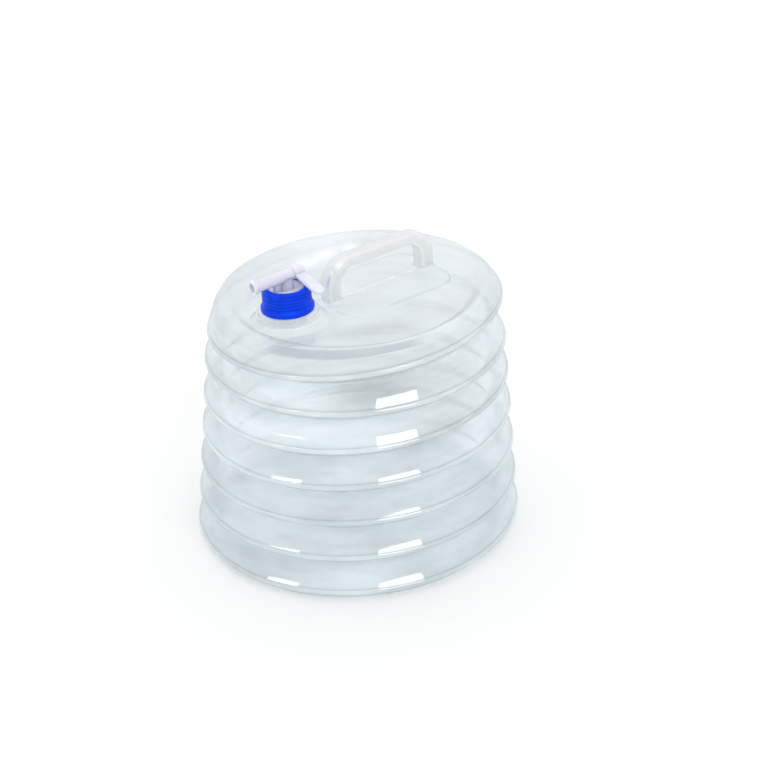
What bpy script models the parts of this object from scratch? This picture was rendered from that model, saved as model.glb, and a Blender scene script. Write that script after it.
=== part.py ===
# Collapsible water carrier: a folding LDPE jug with a screw-on tap and a moulded handle.
# Metres, +Z up. The base centre is the origin, and +X runs from the neck to the handle.
# The stack is drawn straight first, and then leaned as the jug stands in use.

from math import cos, pi, radians, sin

import bmesh
import bpy
from mathutils import Matrix, Vector

# Folding stack
FOLD_COUNT = 6
BASE_RADIUS = 0.1331
RIM_RADIUS = 0.1169
FOLD_PITCH = 0.03077
BASE_CREST_HEIGHT = 0.008
BEAD_RADIUS = 0.0023
FOLD_DEPTH = 0.0115
UNDERCUT_DROP = 0.0113
PANEL_BULGE_SHARE = 0.028
SHOULDER_BULGE_SHARE = 0.008
FILM_THICKNESS = 0.0012
WALL_HEM = 0.0008
SHOULDER_HEIGHT = 0.0183
SHOULDER_WIDTH = 0.0091

# How the stack stands: the lowest-to-highest crests tilt by shares of the rim's tilt
RIM_TILT = radians(4.5)
CREST_TILT_SHARES = (0.0, 0.05, 0.14, 0.29, 0.35, 0.22, 1.0, 0.33)
TILT_AZIMUTH = radians(-36.0)
SWAY_AZIMUTH = radians(-42.0)
SWAY = 0.0083

# Base pan
PAN_THICKNESS = 0.0018
FOOT_INSET = 0.007
FOOT_WIDTH = 0.007
FLOOR_RISE = 0.0028
FLOOR_SLOPE_WIDTH = 0.005
FOOT_CURVE_INSET_SHARES = (0.25, 0.5)
FOOT_CURVE_HEIGHT_SHARES = (0.5, 0.125)

# Lid plate, sunk inside its ridge, with a raised pad and a moulding seam along it
PLATE_THICKNESS = 0.0018
RIDGE_WIDTH = 0.0020
RECESS_DEPTH = 0.0078
RECESS_SLOPE_WIDTH = 0.0180
RECESS_STEPS = 4
PAD_LENGTH = 0.108
PAD_WIDTH = 0.073
PAD_CORNER_RADIUS = 0.018
PAD_RISE = 0.0025
PAD_EDGE_RADIUS = 0.0009
SEAM_WIDTH = 0.0012
SEAM_RISE = 0.0008

# Neck
NECK_OFFSET_SHARE = 0.593
NECK_BORE_RADIUS = 0.0140
NECK_WALL = 0.0025
BOSS_RADIUS = 0.0320
BOSS_SIDE_RADIUS = 0.0258
BOSS_TOP_RADIUS = 0.0236
BOSS_RISE = 0.0099
BOSS_STEP_RISE = 0.0067
BOSS_BREAK_SHARE = 0.333
NECK_FOOT_SHARE = 0.333

# Thread between the neck and the screw ring: right-handed, one start
THREAD_PITCH = 0.0035
THREAD_DEPTH = 0.0008
THREAD_ROOT_DEPTH = 0.0006
THREAD_ROOT_WIDTH = 0.0016
THREAD_CREST_WIDTH = 0.0007
THREAD_TOP_ROOM = 0.0017
NECK_THREAD_TURNS = 2.25
RING_THREAD_TURNS = 1.5

# Screw ring
RING_HEIGHT = 0.0207
RING_RADIUS = 0.01935
SKIRT_RADIUS = 0.0210
SKIRT_HEIGHT = 0.0056
SKIRT_FLARE_HEIGHT = 0.0024
RIDGE_COUNT = 5
RIDGE_DEPTH = 0.0005
RIDGE_STEP_SHARES = (0.125, 0.625, 0.875)
LIP_OPENING_RADIUS = 0.0142
LIP_THICKNESS = 0.0015
LIP_RECESS = 0.0016
RIM_EDGE_WIDTH = 0.0026

# Tap
DISC_THICKNESS = 0.0020
GASKET_THICKNESS = 0.0015
BARREL_RADIUS = 0.0048
BARREL_BORE_RADIUS = 0.0035
BARREL_LIFT = 0.0064
SPOUT_REACH = 0.0310
BARREL_REAR = 0.0062
STEM_RADIUS = 0.0057
STEM_BORE_RADIUS = 0.0027
WEB_REACH = 0.0110
WEB_THICKNESS = 0.0036
SPOUT_COLLAR_LENGTH = 0.0030
SPOUT_COLLAR_RISE = 0.0006

# Tap plug and its lever
PLUG_BORE_RADIUS = 0.0020
PORT_RADIUS = 0.0017
PLUG_REACH = 0.0115
PLUG_END_WALL = 0.0030
LEVER_LENGTH = 0.0330
LEVER_WIDTH = 0.0096
LEVER_THICKNESS = 0.0032
LEVER_SLOPE = radians(12.0)
LEVER_HUB_RADIUS = 0.0048

# Handle
HANDLE_LENGTH = 0.106
HANDLE_RISE = 0.0354
HANDLE_DEPTH = 0.0155
HANDLE_OFFSET_SHARE = 0.224
GRIP_THICKNESS = 0.0102
LEG_WIDTH = 0.0132
GRIP_OUTER_CORNER = 0.0230
GRIP_INNER_CORNER = 0.0125
HANDLE_EDGE_RADIUS = 0.0026

# Clearance between neighbours, cutter overrun and roundness
GAP = 0.0003
OVERRUN = 0.002
WELD_DISTANCE = 0.00001
STACK_SEGMENTS = 36
RING_SEGMENTS = 28
BORE_SEGMENTS = 20
BEAD_SEGMENTS = 6
BULGE_STEPS = 3
CORNER_STEPS = 4
EDGE_STEPS = 1
SMOOTH_ANGLE = radians(35.0)

FILM_COLOUR = (0.86, 0.89, 0.92, 1.0)
CREST_COLOUR = (0.80, 0.84, 0.88, 1.0)
BLUE = (0.0, 0.06, 0.80, 1.0)
TAP_WHITE = (0.86, 0.86, 0.93, 1.0)
GASKET_GREY = (0.72, 0.73, 0.74, 1.0)
FILM_ROUGHNESS = 0.25
FILM_CLARITY = 0.8
CREST_ROUGHNESS = 0.22
CREST_CLARITY = 0.7
RING_ROUGHNESS = 0.38
TAP_ROUGHNESS = 0.35
GASKET_ROUGHNESS = 0.6

PARTS_NAME = "collapsible_water_carrier"
CUTTERS_NAME = "cutters"


# Sizes that follow from the driving ones

def crest_radius(level):
    return BASE_RADIUS + (RIM_RADIUS - BASE_RADIUS) * level / FOLD_COUNT


def crest_height(level):
    return BASE_CREST_HEIGHT + FOLD_PITCH * level


BEAD_FLAT = BEAD_RADIUS * cos(pi / BEAD_SEGMENTS)
SEAM = BEAD_FLAT + GAP
RIM_HEIGHT = crest_height(FOLD_COUNT)
LID_HEIGHT = RIM_HEIGHT + SHOULDER_HEIGHT
LID_RADIUS = RIM_RADIUS - SHOULDER_WIDTH
NECK_OFFSET = LID_RADIUS * NECK_OFFSET_SHARE
HANDLE_CENTRE_X = LID_RADIUS * HANDLE_OFFSET_SHARE
NECK_RADIUS = NECK_BORE_RADIUS + NECK_WALL
PANEL_HEIGHT = -RECESS_DEPTH
PAD_TOP = PANEL_HEIGHT + PAD_RISE
BOSS_TOP = PANEL_HEIGHT + BOSS_RISE
RING_BOTTOM = BOSS_TOP + GAP
RING_TOP = RING_BOTTOM + RING_HEIGHT
LIP_TOP = RING_TOP - LIP_RECESS
LIP_BOTTOM = LIP_TOP - LIP_THICKNESS
DISC_TOP = LIP_BOTTOM - GAP
DISC_BOTTOM = DISC_TOP - DISC_THICKNESS
GASKET_TOP = DISC_BOTTOM - GAP
GASKET_BOTTOM = GASKET_TOP - GASKET_THICKNESS
NECK_TOP = GASKET_BOTTOM - GAP
RING_BORE_RADIUS = NECK_RADIUS + THREAD_DEPTH + GAP
DISC_RADIUS = NECK_RADIUS
THREAD_START = NECK_TOP - THREAD_TOP_ROOM - THREAD_PITCH * NECK_THREAD_TURNS
THREAD_TAPER = (THREAD_ROOT_WIDTH - THREAD_CREST_WIDTH) / (THREAD_DEPTH + THREAD_ROOT_DEPTH)
THREAD_OVERLAP = THREAD_DEPTH + THREAD_ROOT_DEPTH * 2 + GAP
THREAD_DROP = THREAD_ROOT_WIDTH - THREAD_TAPER * THREAD_OVERLAP / 2 + GAP
BARREL_AXIS_HEIGHT = RING_TOP + BARREL_LIFT
PLUG_RADIUS = BARREL_BORE_RADIUS - GAP


# Scene helpers

def clear_scene():
    for thing in list(bpy.data.objects):
        bpy.data.objects.remove(thing, do_unlink=True)


def make_collection(name):
    collection = bpy.data.collections.new(name)
    bpy.context.scene.collection.children.link(collection)
    return collection


def plastic(name, colour, roughness, clarity=0.0):
    material = bpy.data.materials.new(name)
    material.use_nodes = True
    shader = material.node_tree.nodes["Principled BSDF"]
    shader.inputs["Base Color"].default_value = colour
    shader.inputs["Roughness"].default_value = roughness
    shader.inputs["Metallic"].default_value = 0.0
    shader.inputs["Transmission Weight"].default_value = clarity
    return material


def add_part(name, mesh, material, parent=None, place=(0.0, 0.0, 0.0), turn=(0.0, 0.0, 0.0)):
    part = bpy.data.objects.new(name, mesh)
    mesh.materials.clear()
    mesh.materials.append(material)
    parts.objects.link(part)
    part.parent = parent
    part.location = place
    part.rotation_euler = turn
    shade_round(mesh)
    return part


def add_cutter(name, mesh, parent=None, place=(0.0, 0.0, 0.0), turn=(0.0, 0.0, 0.0)):
    cutter = bpy.data.objects.new(name, mesh)
    cutters.objects.link(cutter)
    cutter.parent = parent
    cutter.location = place
    cutter.rotation_euler = turn
    cutter.hide_render = True
    cutter.display_type = 'WIRE'
    return cutter


def add_frame(name, place, parent=None):
    frame = bpy.data.objects.new(name, None)
    parts.objects.link(frame)
    frame.parent = parent
    frame.location = place
    return frame


def shade_round(mesh):
    mesh.shade_smooth()
    mesh.set_sharp_from_angle(angle=SMOOTH_ANGLE)


def combine(part, cutter, operation):
    step = part.modifiers.new(operation.lower(), 'BOOLEAN')
    step.operation = operation
    step.solver = 'EXACT'
    step.object = cutter


def settled_mesh(thing):
    # The evaluated mesh of an object, which is then removed
    bpy.context.view_layer.update()
    evaluated = thing.evaluated_get(bpy.context.evaluated_depsgraph_get())
    mesh = bpy.data.meshes.new_from_object(evaluated)
    bpy.data.objects.remove(thing, do_unlink=True)
    return mesh


# Form helpers

def profile_mesh(name, points):
    mesh = bpy.data.meshes.new(name)
    corners = [(radius, 0.0, height) for radius, height in points]
    edges = [(step, step + 1) for step in range(len(points) - 1)]
    mesh.from_pydata(corners, edges, [])
    return mesh


def turned_mesh(name, points, segments, wall=None):
    # An outer profile, listed top to bottom, turned about Z and thickened inwards by the wall
    blank = bpy.data.objects.new(name, profile_mesh(name, points))
    parts.objects.link(blank)
    screw = blank.modifiers.new("turn", 'SCREW')
    screw.steps = segments
    screw.render_steps = segments
    screw.use_merge_vertices = True
    screw.merge_threshold = WELD_DISTANCE
    if wall is not None:
        shell = blank.modifiers.new("wall", 'SOLIDIFY')
        shell.thickness = wall
        shell.offset = -1.0
        shell.use_even_offset = True
    return settled_mesh(blank)


def cylinder_mesh(name, radius, low, high, segments, top_radius=None):
    mesh = bpy.data.meshes.new(name)
    form = bmesh.new()
    end_radius = radius if top_radius is None else top_radius
    lift = Matrix.Translation((0.0, 0.0, (low + high) / 2))
    bmesh.ops.create_cone(form, cap_ends=True, segments=segments, radius1=radius,
                          radius2=end_radius, depth=high - low, matrix=lift)
    form.to_mesh(mesh)
    form.free()
    return mesh


def box_mesh(name, low, high):
    mesh = bpy.data.meshes.new(name)
    form = bmesh.new()
    centre = (Vector(low) + Vector(high)) / 2
    size = Vector(high) - Vector(low)
    stretch = Matrix.Translation(centre) @ Matrix.Diagonal((*size, 1.0))
    bmesh.ops.create_cube(form, size=1.0, matrix=stretch)
    form.to_mesh(mesh)
    form.free()
    return mesh


def thread_mesh(name, root_radius, crest_radius, start, turns):
    # A tapered bar wound up the neck axis, with its sections halfway along the neck's facets
    half_root = THREAD_ROOT_WIDTH / 2
    half_crest = THREAD_CREST_WIDTH / 2
    section = ((root_radius, -half_root), (crest_radius, -half_crest),
               (crest_radius, half_crest), (root_radius, half_root))
    steps = round(RING_SEGMENTS * turns)
    offset = pi / RING_SEGMENTS
    corners = []
    for step in range(steps + 1):
        angle = 2 * pi * step / RING_SEGMENTS + offset
        lift = start + THREAD_PITCH * step / RING_SEGMENTS
        for radius, height in section:
            corners.append((radius * cos(angle), radius * sin(angle), height + lift))
    sides = len(section)
    faces = [tuple(range(sides)), tuple(range(len(corners) - 1, len(corners) - sides - 1, -1))]
    for step in range(steps):
        for side in range(sides):
            low = step * sides + side
            beside = step * sides + (side + 1) % sides
            faces.append((low, low + sides, beside + sides, beside))
    mesh = bpy.data.meshes.new(name)
    mesh.from_pydata(corners, [], faces)
    weld(mesh)
    return mesh


def rounded_corner(centre, radius, start):
    # A quarter turn about the centre, anticlockwise from the start angle
    arc = []
    for step in range(CORNER_STEPS + 1):
        angle = start + pi / 2 * step / CORNER_STEPS
        arc.append((centre[0] + radius * cos(angle), centre[1] + radius * sin(angle)))
    return arc


def rounded_rectangle(half_length, half_width, radius):
    outline = []
    outline += rounded_corner((half_length - radius, half_width - radius), radius, 0.0)
    outline += rounded_corner((radius - half_length, half_width - radius), radius, pi / 2)
    outline += rounded_corner((radius - half_length, radius - half_width), radius, pi)
    outline += rounded_corner((half_length - radius, radius - half_width), radius, 3 * pi / 2)
    return outline


def arch_line(half_span, foot, top, radius):
    # Up from the right foot, over two rounded corners and down to the left foot
    line = [(half_span, foot)]
    line += rounded_corner((half_span - radius, top - radius), radius, 0.0)
    line += rounded_corner((radius - half_span, top - radius), radius, pi / 2)
    line.append((-half_span, foot))
    return line


def extruded_mesh(name, outline, thickness, edge_radius):
    # A flat outline filled and thickened about its own plane, with its edges rounded
    curve = bpy.data.curves.new(name, 'CURVE')
    curve.dimensions = '2D'
    curve.fill_mode = 'BOTH'
    curve.extrude = thickness / 2 - edge_radius
    curve.bevel_depth = edge_radius
    curve.bevel_resolution = EDGE_STEPS
    curve.offset = -edge_radius
    curve.resolution_u = 1
    curve.render_resolution_u = 0
    spline = curve.splines.new('POLY')
    spline.points.add(len(outline) - 1)
    for point, (across, up) in zip(spline.points, outline):
        point.co = (across, up, 0.0, 1.0)
    spline.use_cyclic_u = True
    blank = bpy.data.objects.new(name, curve)
    parts.objects.link(blank)
    mesh = settled_mesh(blank)
    bpy.data.curves.remove(curve)
    weld(mesh)
    return mesh


def weld(mesh):
    form = bmesh.new()
    form.from_mesh(mesh)
    bmesh.ops.remove_doubles(form, verts=form.verts, dist=WELD_DISTANCE)
    bmesh.ops.recalc_face_normals(form, faces=form.faces)
    form.to_mesh(mesh)
    form.free()


# The lean of the stack

SWAY_DIRECTION = Vector((cos(SWAY_AZIMUTH), sin(SWAY_AZIMUTH), 0.0))
TILT_AXIS = Vector((sin(TILT_AZIMUTH), -cos(TILT_AZIMUTH), 0.0))


def station_height(level):
    return LID_HEIGHT if level > FOLD_COUNT else crest_height(level)


def station_sway(level):
    climb = station_height(level) - BASE_CREST_HEIGHT
    return SWAY_DIRECTION * (SWAY * climb / (LID_HEIGHT - BASE_CREST_HEIGHT))


def tilt_share(level):
    place = level * (len(CREST_TILT_SHARES) - 1) / (FOLD_COUNT + 1)
    below = min(int(place), len(CREST_TILT_SHARES) - 2)
    rest = place - below
    return CREST_TILT_SHARES[below] * (1 - rest) + CREST_TILT_SHARES[below + 1] * rest


def station_matrix(level):
    # Moves a straight crest, or the lid for the last level, to where it stands
    middle = Vector((0.0, 0.0, station_height(level)))
    turn = Matrix.Rotation(RIM_TILT * tilt_share(level), 4, TILT_AXIS)
    return Matrix.Translation(middle + station_sway(level)) @ turn @ Matrix.Translation(-middle)


def leaned(point):
    # Each bead moves as one piece, and the wall between two beads blends their places
    if point.z <= BASE_CREST_HEIGHT + SEAM:
        return station_matrix(0) @ point
    for level in range(FOLD_COUNT + 1):
        low = station_height(level) + SEAM
        high = station_height(level + 1) - (SEAM if level < FOLD_COUNT else 0.0)
        if point.z <= high:
            share = max(0.0, (point.z - low) / (high - low))
            below = station_matrix(level) @ point
            above = station_matrix(level + 1) @ point
            return below.lerp(above, share)
    return station_matrix(FOLD_COUNT + 1) @ point


def lean(mesh):
    for corner in mesh.vertices:
        corner.co = leaned(corner.co.copy())


# Stack pieces

def sloping_panel(top, bottom, bulge_share):
    # From a valley or the lid's edge down to a crest, bowed outwards a little
    across = bottom[0] - top[0]
    fall = top[1] - bottom[1]
    curve = []
    for step in range(BULGE_STEPS + 1):
        share = step / BULGE_STEPS
        bow = 4 * share * (1 - share) * bulge_share
        curve.append((top[0] + across * share + fall * bow, top[1] - fall * share + across * bow))
    return curve


def add_stack_part(name, mesh, material, level):
    # Leans a straight piece and sets its origin at the centre of its crest
    centre = station_matrix(level) @ Vector((0.0, 0.0, station_height(level)))
    lean(mesh)
    mesh.transform(Matrix.Translation(-centre))
    return add_part(name, mesh, material, place=centre)


def wall_edge_radius(level):
    return crest_radius(level) + FILM_THICKNESS / 2


def make_fold_wall(level):
    # The wall from the crest below up to this crest: a sloping panel, the valley and the undercut
    top_edge = wall_edge_radius(level)
    low_edge = wall_edge_radius(level - 1)
    under_bead = crest_height(level) - SEAM
    on_bead = crest_height(level - 1) + SEAM
    valley = (crest_radius(level) - FOLD_DEPTH, crest_height(level) - UNDERCUT_DROP)
    profile = [(top_edge, under_bead), (top_edge, under_bead - WALL_HEM)]
    profile += sloping_panel(valley, (low_edge, on_bead + WALL_HEM), PANEL_BULGE_SHARE)
    profile.append((low_edge, on_bead))
    mesh = turned_mesh("fold_wall", profile, STACK_SEGMENTS, FILM_THICKNESS)
    return add_stack_part(f"fold_wall_{level}", mesh, film, level)


def make_lid_shoulder():
    # The top panel, from the lid plate down to the rim bead
    low_edge = wall_edge_radius(FOLD_COUNT)
    on_bead = RIM_HEIGHT + SEAM
    profile = [(LID_RADIUS, LID_HEIGHT)]
    top_edge = (LID_RADIUS + WALL_HEM, LID_HEIGHT)
    profile += sloping_panel(top_edge, (low_edge, on_bead + WALL_HEM), SHOULDER_BULGE_SHARE)
    profile.append((low_edge, on_bead))
    mesh = turned_mesh("lid_shoulder", profile, STACK_SEGMENTS, FILM_THICKNESS)
    return add_stack_part("lid_shoulder", mesh, film, FOLD_COUNT + 1)


def make_crest_ring(level):
    bpy.ops.mesh.primitive_torus_add(major_radius=crest_radius(level), minor_radius=BEAD_RADIUS,
                                     major_segments=STACK_SEGMENTS, minor_segments=BEAD_SEGMENTS,
                                     location=(0.0, 0.0, crest_height(level)))
    blank = bpy.context.object
    blank.data.transform(Matrix.Translation(blank.location))
    mesh = settled_mesh(blank)
    return add_stack_part(f"crest_ring_{level}", mesh, crest, level)


def make_base_pan():
    # The lowest bead, the turned-in foot with its flat floor ring, and the raised floor
    bead_side = BASE_RADIUS + BEAD_FLAT
    foot_outer = BASE_RADIUS - FOOT_INSET
    foot_inner = foot_outer - FOOT_WIDTH
    foot_curve = []
    for inset, height in zip(FOOT_CURVE_INSET_SHARES, FOOT_CURVE_HEIGHT_SHARES):
        foot_curve.append((BASE_RADIUS - FOOT_INSET * inset, BASE_CREST_HEIGHT * height))
    profile = [
        (BASE_RADIUS, BASE_CREST_HEIGHT + BEAD_FLAT),
        (bead_side, BASE_CREST_HEIGHT + BEAD_FLAT / 2),
        (bead_side, BASE_CREST_HEIGHT - BEAD_FLAT / 2),
        (BASE_RADIUS - BEAD_FLAT / 2, BASE_CREST_HEIGHT - BEAD_RADIUS),
        *foot_curve,
        (foot_outer, 0.0),
        (foot_inner, 0.0),
        (foot_inner - FLOOR_SLOPE_WIDTH, FLOOR_RISE),
        (0.0, FLOOR_RISE),
    ]
    mesh = turned_mesh("base_pan", profile, STACK_SEGMENTS, PAN_THICKNESS)
    return add_part("base_pan", mesh, crest)


# Lid

def pad_mesh(name, inset, low, high, edge_radius):
    outline = rounded_rectangle(PAD_LENGTH / 2 - inset, PAD_WIDTH / 2 - inset, PAD_CORNER_RADIUS - inset)
    mesh = extruded_mesh(name, outline, high - low, edge_radius)
    mesh.transform(Matrix.Translation((HANDLE_CENTRE_X, 0.0, (low + high) / 2)))
    return mesh


def neck_mesh(name, inset, neck_radius, neck_top, low):
    # The neck on its stepped boss, or their hollow once it is inset
    step = PANEL_HEIGHT + BOSS_STEP_RISE - inset
    profile = [
        (0.0, neck_top),
        (neck_radius, neck_top),
        (neck_radius, BOSS_TOP - inset),
        (BOSS_TOP_RADIUS - inset, BOSS_TOP - inset),
        (BOSS_TOP_RADIUS - inset, step),
        (BOSS_SIDE_RADIUS - inset, step),
        (BOSS_SIDE_RADIUS - inset, step - BOSS_STEP_RISE * BOSS_BREAK_SHARE),
        (BOSS_RADIUS - inset, PANEL_HEIGHT - inset),
        (BOSS_RADIUS - inset, low),
        (0.0, low),
    ]
    mesh = turned_mesh(name, profile, RING_SEGMENTS)
    weld(mesh)
    return mesh


def tilt_edge(mesh, edge, inside):
    # The plate's edge follows the tilt of the shoulder, and its panel stays level
    for corner in mesh.vertices:
        share = min(1.0, max(0.0, (corner.co.xy.length - inside) / (edge - inside)))
        turn = Matrix.Rotation(RIM_TILT * tilt_share(FOLD_COUNT + 1) * share, 3, TILT_AXIS)
        corner.co = turn @ corner.co


def make_lid_plate(lid_frame):
    # Ridge, sunk panel, raised pad, boss and threaded neck in one moulding, hollow underneath
    edge = LID_RADIUS - GAP
    profile = [(0.0, PANEL_HEIGHT)]
    for step in range(RECESS_STEPS + 1):
        rise = (1 - cos(pi * step / RECESS_STEPS)) / 2
        inside = RIDGE_WIDTH + RECESS_SLOPE_WIDTH * (1 - step / RECESS_STEPS)
        profile.append((edge - inside, PANEL_HEIGHT * (1 - rise)))
    profile.append((edge, 0.0))
    shell = turned_mesh("lid_plate", profile, STACK_SEGMENTS, PLATE_THICKNESS)
    tilt_edge(shell, edge - RIDGE_WIDTH, edge - RIDGE_WIDTH - RECESS_SLOPE_WIDTH)
    plate = add_part("lid_plate", shell, film, lid_frame)
    under = PANEL_HEIGHT - PLATE_THICKNESS - OVERRUN
    neck_place = (-NECK_OFFSET, 0.0, 0.0)
    pad = pad_mesh("pad", 0.0, PANEL_HEIGHT - PLATE_THICKNESS / 2, PAD_TOP, PAD_EDGE_RADIUS)
    combine(plate, add_cutter("pad_form", pad, lid_frame), 'UNION')
    pad_hollow = pad_mesh("pad_hollow", PLATE_THICKNESS, under, PAD_TOP - PLATE_THICKNESS, 0.0)
    combine(plate, add_cutter("pad_hollow", pad_hollow, lid_frame), 'DIFFERENCE')
    seam_reach = HANDLE_LENGTH / 2 - LEG_WIDTH - GRIP_INNER_CORNER / 2
    seam = box_mesh("seam", (HANDLE_CENTRE_X - seam_reach, -SEAM_WIDTH / 2, PAD_TOP - SEAM_RISE),
                    (HANDLE_CENTRE_X + seam_reach, SEAM_WIDTH / 2, PAD_TOP + SEAM_RISE))
    combine(plate, add_cutter("seam_form", seam, lid_frame), 'UNION')
    neck = neck_mesh("neck", 0.0, NECK_RADIUS, NECK_TOP, PANEL_HEIGHT - PLATE_THICKNESS * NECK_FOOT_SHARE)
    combine(plate, add_cutter("neck_form", neck, lid_frame, neck_place), 'UNION')
    thread = thread_mesh("neck_thread", NECK_RADIUS - THREAD_ROOT_DEPTH, NECK_RADIUS + THREAD_DEPTH,
                         THREAD_START, NECK_THREAD_TURNS)
    combine(plate, add_cutter("neck_thread_form", thread, lid_frame, neck_place), 'UNION')
    bore = neck_mesh("neck_bore", PLATE_THICKNESS, NECK_BORE_RADIUS, NECK_TOP + OVERRUN, under - OVERRUN)
    combine(plate, add_cutter("neck_bore", bore, lid_frame, neck_place), 'DIFFERENCE')
    return plate


def make_handle(lid_frame):
    # A strap arch drawn from the side and extruded across the pad
    foot = PAD_TOP + GAP
    top = PAD_TOP + HANDLE_RISE
    half = HANDLE_LENGTH / 2
    outer = arch_line(half, foot, top, GRIP_OUTER_CORNER)
    inner = arch_line(half - LEG_WIDTH, foot, top - GRIP_THICKNESS, GRIP_INNER_CORNER)
    mesh = extruded_mesh("carry_handle", outer + inner[::-1], HANDLE_DEPTH, HANDLE_EDGE_RADIUS)
    return add_part("carry_handle", mesh, film, lid_frame, (HANDLE_CENTRE_X, 0.0, 0.0), (pi / 2, 0.0, 0.0))


# Screw ring

def ridge_points():
    # Shallow grooves, evenly spaced up the straight part of the ring's side, top to bottom
    top = RING_TOP - RIM_EDGE_WIDTH / 2
    bottom = RING_BOTTOM + SKIRT_HEIGHT
    pitch = (top - bottom) / RIDGE_COUNT
    points = []
    land_start, land_end, groove = RIDGE_STEP_SHARES
    for ridge in range(RIDGE_COUNT):
        start = top - pitch * ridge
        points.append((RING_RADIUS, start - pitch * land_start))
        points.append((RING_RADIUS, start - pitch * land_end))
        points.append((RING_RADIUS - RIDGE_DEPTH, start - pitch * groove))
    return points


def make_screw_ring(neck_frame):
    # The profile runs down the outside, under the skirt and back up the bore round the lip
    lip_side = RING_RADIUS - RIM_EDGE_WIDTH
    profile = [(RING_RADIUS - RIM_EDGE_WIDTH / 2, RING_TOP)]
    profile += ridge_points()
    profile += [
        (RING_RADIUS - RIDGE_DEPTH, RING_BOTTOM + SKIRT_HEIGHT),
        (SKIRT_RADIUS, RING_BOTTOM + SKIRT_HEIGHT - SKIRT_FLARE_HEIGHT),
        (SKIRT_RADIUS, RING_BOTTOM),
        (RING_BORE_RADIUS, RING_BOTTOM),
        (RING_BORE_RADIUS, LIP_BOTTOM),
        (LIP_OPENING_RADIUS, LIP_BOTTOM),
        (LIP_OPENING_RADIUS, LIP_TOP),
        (lip_side, LIP_TOP),
        (lip_side, RING_TOP),
        (RING_RADIUS - RIM_EDGE_WIDTH / 2, RING_TOP),
    ]
    mesh = turned_mesh("screw_ring", profile, RING_SEGMENTS)
    weld(mesh)
    ring = add_part("screw_ring", mesh, blue, neck_frame)
    thread = thread_mesh("ring_thread", RING_BORE_RADIUS + THREAD_ROOT_DEPTH, NECK_RADIUS + GAP,
                         THREAD_START - THREAD_DROP, RING_THREAD_TURNS)
    combine(ring, add_cutter("ring_thread_form", thread, neck_frame), 'UNION')
    return ring


# Tap

def make_gasket(neck_frame):
    profile = [
        (NECK_RADIUS, GASKET_TOP),
        (NECK_RADIUS, GASKET_BOTTOM),
        (NECK_BORE_RADIUS, GASKET_BOTTOM),
        (NECK_BORE_RADIUS, GASKET_TOP),
        (NECK_RADIUS, GASKET_TOP),
    ]
    mesh = turned_mesh("tap_gasket", profile, RING_SEGMENTS)
    weld(mesh)
    return add_part("tap_gasket", mesh, gasket, neck_frame)


def make_tap_body(neck_frame):
    # Clamped disc, stem and web under a lying barrel, bored from the neck to the open spout
    disc = cylinder_mesh("tap_body", DISC_RADIUS, DISC_BOTTOM, DISC_TOP, RING_SEGMENTS)
    body = add_part("tap_body", disc, tap_white, neck_frame)
    inside = DISC_TOP - DISC_THICKNESS / 2
    stem = cylinder_mesh("stem", STEM_RADIUS, inside, BARREL_AXIS_HEIGHT, BORE_SEGMENTS)
    combine(body, add_cutter("stem_form", stem, neck_frame), 'UNION')
    web = box_mesh("web", (-WEB_REACH, -WEB_THICKNESS / 2, inside), (0.0, WEB_THICKNESS / 2, BARREL_AXIS_HEIGHT))
    combine(body, add_cutter("web_form", web, neck_frame), 'UNION')
    lying = (0.0, pi / 2, 0.0)
    axis = (0.0, 0.0, BARREL_AXIS_HEIGHT)
    barrel = cylinder_mesh("barrel", BARREL_RADIUS, -SPOUT_REACH, BARREL_REAR, BORE_SEGMENTS)
    combine(body, add_cutter("barrel_form", barrel, neck_frame, axis, lying), 'UNION')
    collar = cylinder_mesh("collar", BARREL_RADIUS + SPOUT_COLLAR_RISE, -SPOUT_REACH,
                           -SPOUT_REACH + SPOUT_COLLAR_LENGTH, BORE_SEGMENTS)
    combine(body, add_cutter("collar_form", collar, neck_frame, axis, lying), 'UNION')
    bore = cylinder_mesh("bore", BARREL_BORE_RADIUS, -SPOUT_REACH - OVERRUN, BARREL_REAR + OVERRUN,
                         BORE_SEGMENTS)
    combine(body, add_cutter("barrel_bore", bore, neck_frame, axis, lying), 'DIFFERENCE')
    feed = cylinder_mesh("feed", STEM_BORE_RADIUS, DISC_BOTTOM - OVERRUN, BARREL_AXIS_HEIGHT, BORE_SEGMENTS)
    combine(body, add_cutter("feed_bore", feed, neck_frame), 'DIFFERENCE')
    return body


def lever_outline():
    # A bar with a round tip, drawn from the barrel axis outwards
    half = LEVER_WIDTH / 2
    tip = LEVER_LENGTH - half
    outline = [(-half, 0.0)]
    for step in range(2 * CORNER_STEPS + 1):
        angle = pi - pi * step / (2 * CORNER_STEPS)
        outline.append((half * cos(angle), tip + half * sin(angle)))
    outline.append((half, 0.0))
    return outline


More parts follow.
